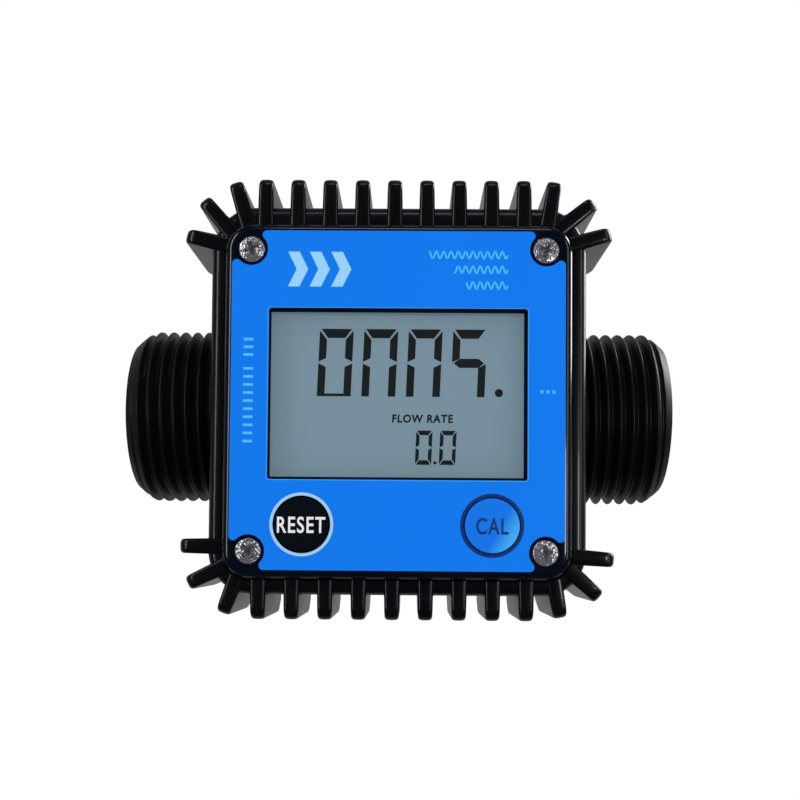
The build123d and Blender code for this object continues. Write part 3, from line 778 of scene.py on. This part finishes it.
def screw_points(centre, sizes, seat, tip, spin):
    """One screw: a square grid bent to a disc for its domed head, then rings down to the tip.

    On the disc the height is the dome's, less the recess where the point lies in one of the two
    arms of the cross, deepest in the middle. The rings carry the rim's profile to the shank.
    """
    half = [0.0, 0.08, CROSS_HALF - CROSS_WALL, CROSS_HALF + CROSS_WALL, 0.3, 0.4, 0.52,
            CROSS_REACH - CROSS_WALL, CROSS_REACH + CROSS_WALL, 0.76, 0.84, 0.92, 1.0]
    line = np.array([-v for v in half[:0:-1]] + half)
    count = len(line)
    u, v = np.meshgrid(line, line, indexing="ij")
    x, z = disc(u, v)
    near, far = np.minimum(np.abs(u), np.abs(v)), np.maximum(np.abs(u), np.abs(v))
    arm = (near < CROSS_HALF) & (far < CROSS_REACH)
    recess = np.where(arm, RECESS - RECESS_RISE * far, 0.0) * MM
    top = seat - sizes.screw_seat
    head = sizes.screw_radius * HEAD_DOME
    cap = np.stack([x * head, top + DOME_DROP * (x ** 2 + z ** 2) + recess, z * head], axis=-1)
    ones = np.ones(count - 1)
    rim_x, rim_z = disc(
        np.concatenate([line[:-1], ones, line[:0:-1], -ones]),
        np.concatenate([-ones, line[:-1], ones, line[:0:-1]]))
    quarter = np.linspace(0, np.pi / 2, 6)
    turn_r = head + (sizes.screw_radius - head) * np.sin(quarter)
    turn_y = top + DOME_DROP + RIM_TURN * (1 - np.cos(quarter))
    profile_r = np.concatenate([
        turn_r, [sizes.screw_radius, SHANK_RADIUS, SHANK_RADIUS, 0.6 * SHANK_RADIUS, 0.0]])
    profile_y = np.concatenate([turn_y, [seat, seat, tip - SHANK_POINT, tip, tip]])
    rings = points_of(profile_r[:, None] * rim_x, profile_y[:, None], profile_r[:, None] * rim_z)
    x, y, z = np.vstack([cap.reshape(-1, 3), rings.reshape(-1, 3)]).T
    cosine, sine = math.cos(spin), math.sin(spin)
    points = np.column_stack([
        centre[0] + x * cosine - z * sine, y, centre[1] + x * sine + z * cosine])
    faces = np.vstack([
        grid_faces(count, count), grid_faces(*rings.shape[:2], count * count, False, True)])
    return points, faces


# Display contents in mm: left edge, bottom, pitch and lit segments, then each digit's width,
# height, stroke, bar and gap

BIG_NUMBER = (-14.25, 1.0, 7.82, ("abfCED", "abfCE", "abfCE", "afgC"), 5.95, 11.9, 1.32, 1.6, 0.3)
SMALL_NUMBER = (3.05, -10.95, 4.2, ("abcdef", "abcdef"), 2.85, 6.0, 0.62, 0.8, 0.16)
POINTS = ((17.7, 1.75, 0.72), (6.55, -10.6, 0.28))
DISPLAY_WORDS = (-1.0 * MM, 9.7 * MM, -3.6 * MM, -2.12 * MM)
SLANT = math.tan(math.radians(2.2))


def segments(w, h, s, b, g):
    """Outlines of a digit's segments, from its width, height, stroke, bar and gap.

    C and E are the lower strokes where no lower bar meets them, and D is what shows of a broken
    lower bar.
    """
    def over(outline):
        return [(x, h - z) for x, z in outline]

    def across(outline):
        return [(w - x, z) for x, z in outline]

    upper = [(g, h), (w - g, h), (w - s - g / 2, h - b), (s + g / 2, h - b)]
    lower_right = [(w, h / 2 - g / 2), (w - s, h / 2 - b / 2), (w - s, b + g), (w, g)]
    long_right = [(w, h / 2 - g / 2), (w - s, h / 2 - b / 2), (w - s, 0), (w, 0)]
    middle_bar = [(g, h / 2), (s, h / 2 + b / 2), (w - s, h / 2 + b / 2), (w - g, h / 2),
                  (w - s, h / 2 - b / 2), (s, h / 2 - b / 2)]
    return {
        "a": upper, "b": over(lower_right), "c": lower_right, "d": over(upper),
        "e": across(lower_right), "f": over(across(lower_right)), "g": middle_bar,
        "C": long_right, "E": across(long_right), "D": rectangle(s, w - s, 0, b * 0.3),
    }


def number_outlines(number):
    """Outlines of the lit segments of a number, whose digits lean to the right by the slant."""
    left, bottom, pitch, digits, *shape = number
    shapes = segments(*shape)
    outlines = []
    for place, lit in enumerate(digits):
        for segment in lit:
            plan = np.array(shapes[segment], float)
            plan[:, 0] += plan[:, 1] * SLANT
            outlines.append((plan + (left + place * pitch, bottom)) * MM)
    return outlines


def rectangle(left, right, bottom, top):
    """Outline of an upright rectangle."""
    return [(left, bottom), (right, bottom), (right, top), (left, top)]


def dot(x, z, radius, corners=20):
    """Outline of a round dot, given in mm."""
    turn = np.linspace(0, 2 * np.pi, corners, endpoint=False)
    return np.column_stack([x + radius * np.cos(turn), z + radius * np.sin(turn)]) * MM


# Prints on the label in mm, and the window that the cover leaves free of its pane

ARROW_LEFT, ARROW_PITCH, ARROW_LEVEL, ARROW_COUNT = -19.2, 3.75, 22.7, 3
ARROW_WIDTH, ARROW_HALF, ARROW_STROKE = 3.5, 3.05, 2.0
WAVES = ((5.2, 25.3), (9.7, 22.75), (11.7, 20.0))
WAVE_RIGHT, WAVE_HEIGHT, WAVE_LENGTH, WAVE_STROKE = 18.9, 1.25, 1.27, 0.3
SCALE_GROUPS = ((10.4, 1.34, 3), (5.3, 1.4, 10))
SCALE_MIDDLE, SCALE_HALF, SCALE_THICK = -25.9, 0.85, 0.24
SIDE_DOTS = ((24.9, 1.55, 0.3), (25.9, 1.55, 0.3), (26.9, 1.55, 0.3))
LAP = 1.2 * MM
LEFT, RIGHT = PANE_LOW.x + LAP, PANE_HIGH.x - LAP
BOTTOM, TOP = PANE_LOW.z + LAP, PANE_HIGH.z - LAP
TRIM = 0.2 * MM
BORDER_HIDDEN = 0.3 * MM


def flow_arrows():
    """Bold chevrons that point along the flow, each of two slanted bars that meet in a point."""
    outlines = []
    for place in range(ARROW_COUNT):
        left = ARROW_LEFT + ARROW_PITCH * place
        point = left + ARROW_WIDTH
        for half in (ARROW_HALF, -ARROW_HALF):
            bar = [(left, ARROW_LEVEL + half), (left + ARROW_STROKE, ARROW_LEVEL + half),
                   (point, ARROW_LEVEL), (point - ARROW_STROKE, ARROW_LEVEL)]
            outlines.append(np.array(bar) * MM)
    return outlines


def flow_waves():
    """Rows of small sine waves along X that end on one line to the right."""
    outlines = []
    for left, level in WAVES:
        x = np.linspace(left, WAVE_RIGHT, int((WAVE_RIGHT - left) / WAVE_LENGTH * 12))
        swing = WAVE_HEIGHT / 2 * np.sin(2 * np.pi * (x - WAVE_RIGHT) / WAVE_LENGTH)
        outlines += ribbon(np.column_stack([x, level + swing]) * MM, WAVE_STROKE * MM)
    return outlines


def side_scale():
    """Short bars down the left side, in two groups."""
    left, right = SCALE_MIDDLE - SCALE_HALF, SCALE_MIDDLE + SCALE_HALF
    levels = [top - pitch * i for top, pitch, count in SCALE_GROUPS for i in range(count)]
    return [np.array(rectangle(left, right, level - SCALE_THICK, level + SCALE_THICK)) * MM
            for level in levels]


# Operators, one for each piece or group of like pieces


class METER_OT_case(bpy.types.Operator):
    """Dress the moulded case, shortened to where the threaded ports begin"""

    bl_idname = "meter.case"
    bl_label = "Case"
    bl_options = {"REGISTER", "UNDO"}

    def execute(self, context):
        sizes, colours = context.scene.meter_sizes, context.scene.meter_colours
        finish = moulded_plastic(
            "case_nylon", colours.case, 0.3, 0.35 * MM, 0.012 * MM, 0.35)

        def shorten(points):
            port = np.hypot(points[:, 1], points[:, 2]) < sizes.thread_crest + 0.3 * MM
            points[port, 0] = np.clip(points[port, 0], -sizes.thread_start, sizes.thread_start)
            return raised_top(slimmer_fins(points))

        dressed("housing", finish, BODY, reshape=shorten)
        grids = np.array([fin_points(*place) for place in fin_places()])
        count, rows, columns = grids.shape[:3]
        faces = [grid_faces(rows, columns, number * rows * columns, False, True)
                 for number in range(count)]
        mesh = closed_mesh("cooling_fins", grids, np.vstack(faces).tolist(), 50)
        add_object("cooling_fins", mesh, finish, BODY)
        return {"FINISHED"}


class METER_OT_ports(bpy.types.Operator):
    """Make the two ports with their pipe threads"""

    bl_idname = "meter.ports"
    bl_label = "Threaded ports"
    bl_options = {"REGISTER", "UNDO"}

    def execute(self, context):
        sizes, colours = context.scene.meter_sizes, context.scene.meter_colours
        finish = moulded_plastic("port_nylon", colours.port, 0.42, 0.25 * MM, 0.01 * MM)
        for side, name in ((-1, "inlet_thread"), (1, "outlet_thread")):
            mesh = threaded_port(name, side, sizes)
            add_object(name, mesh, finish, BODY)
        return {"FINISHED"}


class METER_OT_cover(bpy.types.Operator):
    """Dress the cover and its gasket"""

    bl_idname = "meter.cover"
    bl_label = "Cover"
    bl_options = {"REGISTER", "UNDO"}

    def execute(self, context):
        sizes, colours = context.scene.meter_sizes, context.scene.meter_colours
        finish = moulded_plastic(
            "cover_nylon", colours.cover, 0.2, 0.4 * MM, 0.01 * MM, 0.7)
        dressed("front_cover", finish, BODY, sizes.cover_edge)
        paint_solids(matt_body("gasket_rubber", linear(26, 26, 27), 0.7), "cover_gasket")
        return {"FINISHED"}


class METER_OT_label(bpy.types.Operator):
    """Dress the printed label and print its marks"""

    bl_idname = "meter.label"
    bl_label = "Label"
    bl_options = {"REGISTER", "UNDO"}

    def execute(self, context):
        sizes, colours = context.scene.meter_sizes, context.scene.meter_colours
        face = printed_face("label_blue", colours.label)
        dressed("front_label", face, BODY, 0.07 * MM)
        pale, sky = ink("pale_ink", colours.pale_ink), ink("sky_ink", colours.sky_ink)
        trim = (rectangle(LEFT - TRIM, LEFT, BOTTOM, TOP),
                rectangle(RIGHT, RIGHT + TRIM, BOTTOM, TOP),
                rectangle(LEFT, RIGHT, BOTTOM - TRIM, BOTTOM),
                rectangle(LEFT, RIGHT, TOP, TOP + 0.6 * TRIM))
        for name, outlines, finish in (
                ("flow_arrows", flow_arrows(), pale), ("flow_waves", flow_waves(), sky),
                ("side_scale", side_scale(), sky),
                ("side_dots", [dot(*place) for place in SIDE_DOTS], sky),
                ("window_trim", trim, ink("trim_ink", colours.trim_ink))):
            printed(name, outlines, LABEL_FRONT, finish, sizes.print_height)
        return {"FINISHED"}


class METER_OT_display(bpy.types.Operator):
    """Dress the pane and the display, with its numbers and the dark border of the window"""

    bl_idname = "meter.display"
    bl_label = "Display"
    bl_options = {"REGISTER", "UNDO"}

    def execute(self, context):
        sizes, colours = context.scene.meter_sizes, context.scene.meter_colours
        paint_solids(clear_pane("clear_pane"), "display_window")
        paint_solids(display_face("display_face", colours.display), "display_glass")
        paint_solids(matt_body("bezel_plastic", linear(48, 49, 52), 0.5), "display_frame")
        dark = ink("segment_ink", colours.digits, 0.4)
        outlines = number_outlines(BIG_NUMBER) + number_outlines(SMALL_NUMBER)
        outlines += [dot(*point) for point in POINTS]
        printed("display_numbers", outlines, GLASS_LOW.y, dark)
        lettering(
            "display_words", "FLOW RATE", DISPLAY_WORDS, (0.032, 0.05, 0.03 * MM),
            lambda x, z: np.full_like(x, GLASS_LOW.y), dark, BODY)
        # A dark band on the pane's front round the window: narrowest at the left, widest at the
        # bottom.
        wide, hidden = sizes.border_width, BORDER_HIDDEN
        border = (rectangle(LEFT - hidden, RIGHT + hidden, TOP - wide, TOP + hidden),
                  rectangle(LEFT - hidden, RIGHT + hidden, BOTTOM - hidden, BOTTOM + 1.3 * wide),
                  rectangle(LEFT - hidden, LEFT + 0.6 * wide, BOTTOM, TOP),
                  rectangle(RIGHT - 1.2 * wide, RIGHT + hidden, BOTTOM, TOP))
        printed("window_border", border, PANE_LOW.y, ink("window_border_dark", linear(8, 16, 34), 0.35),
                0.02 * MM, 0.01 * MM)
        return {"FINISHED"}


class METER_OT_keys(bpy.types.Operator):
    """Dress the two keys, print their words and the rings round them"""

    bl_idname = "meter.keys"
    bl_label = "Keys"
    bl_options = {"REGISTER", "UNDO"}

    CROWN, FACE_RADIUS = 0.25 * MM, 4.7 * MM
    WORD_DROP, WORD_HALF = 0.1 * MM, 1.42 * MM

    def execute(self, context):
        tints = context.scene.meter_colours
        # Each key's second colour is its painted highlight at the lower right edge; the reset key's
        # is its own black.
        self.key(context, "reset", RESET, "RESET", 4.15 * MM, 0.016,
                 (tints.black_key, tints.black_key, tints.silver_ink, tints.white_ink))
        self.key(context, "calibrate", CALIBRATE, "CAL", 2.75 * MM, 0.012,
                 (tints.blue_key, tints.sky_ink, tints.navy_ink, tints.navy_ink))
        return {"FINISHED"}

    def key(self, context, key, body, text, half, weight, colours):
        """One key with its ring and its word, whose crowned face is part of a sphere."""
        sizes = context.scene.meter_sizes
        # glow is the colour of the painted highlight on the key's lower right edge.
        face, glow, ring, word = colours
        button, slot = f"{key}_button", f"{key}_key"
        crown_y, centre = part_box(button)[0].y, middle(button)
        dressed(button, key_face(f"{key}_key_face", face, glow, centre), body)
        plunger = matt_body(f"{key}_plunger_plastic", linear(60, 61, 64), 0.5)
        paint_solids(plunger, f"{key}_plunger")
        mesh = ring_plate(
            f"{key}_ring", centre, sizes.ring_inner, sizes.ring_outer,
            LABEL_FRONT - sizes.print_height, LABEL_FRONT + 0.02 * MM)
        add_object(f"{key}_ring", mesh, ink(f"{key}_ring_ink", ring), BODY, False)
        ball = (self.FACE_RADIUS ** 2 + self.CROWN ** 2) / (2 * self.CROWN)
        level = centre.z - self.WORD_DROP
        lettering(
            f"{key}_word", text,
            (centre.x - half, centre.x + half, level - self.WORD_HALF, level + self.WORD_HALF),
            (weight, 0.0, 0.035 * MM),
            lambda x, z: crown_y + ball - np.sqrt(
                ball ** 2 - (x - centre.x) ** 2 - (z - centre.z) ** 2),
            ink(f"{key}_word_ink", word), body)


class METER_OT_cover_screws(bpy.types.Operator):
    """Make the four bright cover screws with cross recesses"""

    bl_idname = "meter.cover_screws"
    bl_label = "Cover screws"
    bl_options = {"REGISTER", "UNDO"}

    def execute(self, context):
        sizes, colours = context.scene.meter_sizes, context.scene.meter_colours
        reach_x = SCREWS_HIGH.x - sizes.screw_radius
        reach_z = SCREWS_HIGH.z - sizes.screw_radius
        seat = SCREWS_LOW.y + sizes.screw_seat
        points, faces, start = [], [], 0
        for (sx, sz), spin in SCREW_TURNS.items():
            centre = sx * reach_x, sz * reach_z
            place, quads = screw_points(centre, sizes, seat, SCREWS_HIGH.y, spin)
            points.append(place)
            faces.append(quads + start)
            start += len(place)
        mesh = closed_mesh(
            "cover_screw_heads", np.vstack(points), np.vstack(faces).tolist(), 35)
        finish = screw_plating("bright_plating", colours.screw, seat - sizes.screw_seat)
        piece = add_object("cover_screw_heads", mesh, finish, BODY)
        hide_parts("cover_screws")
        return {"FINISHED"}


class METER_OT_flow_parts(bpy.types.Operator):
    """Dress the rotor, its bearings, the straighteners and the retaining rings"""

    bl_idname = "meter.flow_parts"
    bl_label = "Flow parts"
    bl_options = {"REGISTER", "UNDO"}

    def execute(self, context):
        acetal = matt_body("acetal_white", linear(226, 225, 218), 0.38, 0.3 * MM, 0.01 * MM, 0.04)
        steel = bright_metal("ground_steel", linear(176, 177, 180), 0.22, (0.2, 1.0, 1.0))
        spring = bright_metal("spring_steel", linear(150, 152, 156), 0.3, (1.0, 0.3, 0.3))
        bronze = bright_metal("bearing_bronze", linear(190, 146, 84), 0.38, depth=0.03 * MM)
        magnet = matt_body("sintered_magnet", linear(62, 62, 66), 0.5)
        dressed("turbine_rotor", acetal, ROTOR, 0.09 * MM, angle=40)
        for end in ("inlet", "outlet"):
            dressed(f"{end}_straightener", acetal, BODY, 0.12 * MM)
            dressed(f"{end}_retaining_ring", spring, BODY, 0.1 * MM)
        paint_solids(bronze, "inlet_bearing", "outlet_bearing")
        paint_solids(steel, "rotor_shaft")
        paint_solids(magnet, "rotor_magnet")
        return {"FINISHED"}


class METER_OT_inner_parts(bpy.types.Operator):
    """Paint the board, the cells and the small parts inside the case"""

    bl_idname = "meter.inner_parts"
    bl_label = "Inner parts"
    bl_options = {"REGISTER", "UNDO"}

    def execute(self, context):
        board = board_face("board_green", context.scene.meter_colours.board)
        nickel = bright_metal("nickel_plate", linear(200, 196, 184), 0.25, (1.0, 1.0, 0.2))
        chip = matt_body("epoxy_black", linear(30, 31, 33), 0.55)
        cans = bright_metal("drawn_cans", linear(204, 205, 208), 0.3, (1.0, 0.3, 1.0))
        zinc = bright_metal("zinc_plate", linear(196, 196, 190), 0.28)
        glass = matt_body("reed_glass", linear(120, 160, 140), 0.12, 0.8 * MM, 0.005 * MM)
        rubber = matt_body("strip_rubber", linear(40, 40, 42), 0.75)
        paint_solids(board, "circuit_board")
        paint_solids(chip, "processor_chip", "reset_switch", "calibrate_switch")
        paint_solids(cans, "board_components")
        paint_solids(zinc, "board_screws")
        paint_solids(glass, "reed_sensors")
        paint_solids(rubber, "contact_strips")
        paint_solids(nickel, "battery_contacts", "battery_springs")
        paint_solids(cell_jacket("lower_jacket", -1), "battery_lower")
        paint_solids(cell_jacket("upper_jacket", 1), "battery_upper")
        return {"FINISHED"}


# Studio: lamps as name, place, width, height and power, then the floor and the world's strengths

LAMPS = (
    ("left_softbox", (-0.42, -0.30, 0.16), 0.07, 0.6, 0.68),
    ("right_softbox", (0.46, -0.26, 0.10), 0.07, 0.5, 0.25),
    ("near_softbox", (0.17, -0.22, -0.01), 0.045, 0.045, 0.07),
    ("top_softbox", (0.03, -0.22, 0.48), 0.24, 0.08, 0.12),
    ("back_softbox", (0.6, 0.32, 0.35), 0.3, 0.5, 3.0),
)
RAYS = ("Is Camera Ray", "Is Glossy Ray", "Is Transmission Ray")
FLOOR_Z = FIN_FEET - LOWER_MORE * MM
FLOOR_RADII = (0.0, 0.15, 0.4, 0.9, 2.0)
FLOOR_COLUMNS = 64
FLOOR_GREY, FLOOR_GLOW, GLOSSY_SHARE = 0.82, 0.55, 0.2
GLOSS_FRONT, GLOSS_BEHIND, SOFT_LIGHT = 0.012, 0.32, 0.8

# Camera: eye in mm, angles in degrees, focal length and principal row in pixels of the picture
PICTURE = 800
EYE = (2.26, -213.7, -25.55)
YAW, PITCH, ROLL = -0.526, 2.216, 0.455
FOCAL_PIXELS = 1085.0
PRINCIPAL_ROW = 506.1
SENSOR = 36.0


def add_floor():
    """Wide round floor: radius and angle are the two parameters, and the height is constant."""
    radius = np.array(FLOOR_RADII)[:, None]
    turn = np.linspace(0, 2 * np.pi, FLOOR_COLUMNS, endpoint=False)
    points = points_of(radius * np.cos(turn), radius * np.sin(turn), FLOOR_Z)
    faces = grid_faces(len(radius), FLOOR_COLUMNS, 0, False, True)
    mesh = closed_mesh("floor", points, faces.tolist())
    floor = linked("floor", mesh)
    paint = new_paint("floor_white")
    camera, glossy, through = paint.outputs("ShaderNodeLightPath", *RAYS)
    direct = camera + glossy * GLOSSY_SHARE + through
    glow = paint.node("ShaderNodeEmission", sockets={
        "Color": (1, 1, 1, 1), "Strength": direct * FLOOR_GLOW})
    matt = paint.node("ShaderNodeBsdfDiffuse", sockets={"Color": rgba([FLOOR_GREY] * 3)})
    lit = paint.node("ShaderNodeAddShader", sockets={0: glow, 1: matt})
    clear = paint.node("ShaderNodeBsdfTransparent")
    under, = paint.outputs("ShaderNodeNewGeometry", "Backfacing")
    shown = paint.node("ShaderNodeMixShader", sockets={0: under, 1: lit, 2: clear})
    mesh.materials.append(paint.finish(shown))


def add_world():
    """White for rays that see it, dark in front and pale behind in reflections, soft elsewhere."""
    world = bpy.data.worlds.new("studio")
    bpy.context.scene.world = world
    paint = Paint(world)
    camera, glossy, through = paint.outputs("ShaderNodeLightPath", *RAYS)
    away = paint.node(
        "ShaderNodeSeparateXYZ", sockets={0: paint.node("ShaderNodeTexCoord")}, output=1)
    reflected = paint.node(
        "ShaderNodeMapRange", {"interpolation_type": "SMOOTHSTEP"},
        {"Value": away, "From Min": -0.1, "From Max": 0.8,
         "To Min": GLOSS_FRONT, "To Max": GLOSS_BEHIND})
    seen = (camera + through) > 0.5
    strength = seen + glossy * reflected + (1 - seen) * (1 - glossy) * SOFT_LIGHT
    shader = paint.node("ShaderNodeBackground", sockets={
        "Color": (1, 1, 1, 1), "Strength": strength})
    paint.finish(shader, "ShaderNodeOutputWorld")


def add_lamp(name, place, width, height, power):
    """Soft rectangular lamp that faces the meter."""
    light = bpy.data.lights.new(name, "AREA")
    light.shape = "RECTANGLE"
    light.size, light.size_y, light.energy = width, height, power
    lamp = linked(name, light)
    turn = Vector(place).to_track_quat("Z", "Y").to_matrix().to_4x4()
    lamp.matrix_world = Matrix.Translation(place) @ turn


def camera_axes():
    """Right, up and forward of a camera that is yawed, pitched and then rolled."""
    yaw, pitch, roll = (math.radians(v) for v in (YAW, PITCH, ROLL))
    forward = np.array([
        math.sin(yaw) * math.cos(pitch), math.cos(yaw) * math.cos(pitch), math.sin(pitch)])
    level = np.array([math.cos(yaw), -math.sin(yaw), 0.0])
    right = level * math.cos(roll) + np.cross(level, forward) * math.sin(roll)
    return right, np.cross(right, forward), forward


def add_camera():
    """Camera at the photograph's angle, with its optical axis below the picture's middle."""
    lens = bpy.data.cameras.new("camera")
    lens.sensor_width = SENSOR
    lens.lens = FOCAL_PIXELS / PICTURE * SENSOR
    lens.shift_y = (PRINCIPAL_ROW - PICTURE / 2) / PICTURE
    lens.clip_start = 0.01
    lens.clip_end = 20.0
    camera = linked("camera", lens)
    right, up, forward = camera_axes()
    turn = Matrix(np.column_stack([right, up, -forward]).tolist()).to_4x4()
    camera.matrix_world = Matrix.Translation([v * MM for v in EYE]) @ turn
    bpy.context.scene.camera = camera
    bpy.context.scene.view_settings.view_transform = "Standard"


class METER_OT_studio(bpy.types.Operator):
    """Set the floor, the world, the soft lamps and the camera"""

    bl_idname = "meter.studio"
    bl_label = "Studio"
    bl_options = {"REGISTER", "UNDO"}

    def execute(self, context):
        add_floor()
        add_world()
        for lamp in LAMPS:
            add_lamp(*lamp)
        add_camera()
        return {"FINISHED"}


OPERATORS = (
    METER_OT_case, METER_OT_ports, METER_OT_cover, METER_OT_label, METER_OT_display,
    METER_OT_keys, METER_OT_cover_screws, METER_OT_flow_parts, METER_OT_inner_parts,
    METER_OT_studio,
)


class METER_PT_panel(bpy.types.Panel):
    """Lists the meter's pieces, sizes and colours in the sidebar."""

    bl_idname = "METER_PT_panel"
    bl_label = "Flow meter"
    bl_space_type = "VIEW_3D"
    bl_region_type = "UI"
    bl_category = "Flow meter"

    def draw(self, context):
        layout = self.layout
        for operator in OPERATORS:
            layout.operator(operator.bl_idname)
        for group in (context.scene.meter_sizes, context.scene.meter_colours):
            box = layout.box()
            for name in group.__annotations__:
                box.prop(group, name)


CLASSES = (MeterSizes, MeterColours, *OPERATORS, METER_PT_panel)


def register():
    for item in CLASSES:
        bpy.utils.register_class(item)
    bpy.types.Scene.meter_sizes = bpy.props.PointerProperty(type=MeterSizes)
    bpy.types.Scene.meter_colours = bpy.props.PointerProperty(type=MeterColours)


def unregister():
    del bpy.types.Scene.meter_sizes
    del bpy.types.Scene.meter_colours
    for item in reversed(CLASSES):
        bpy.utils.unregister_class(item)


def main():
    register()
    for operator in OPERATORS:
        group, name = operator.bl_idname.split(".")
        getattr(getattr(bpy.ops, group), name)()


if __name__ == "__main__":
    main()
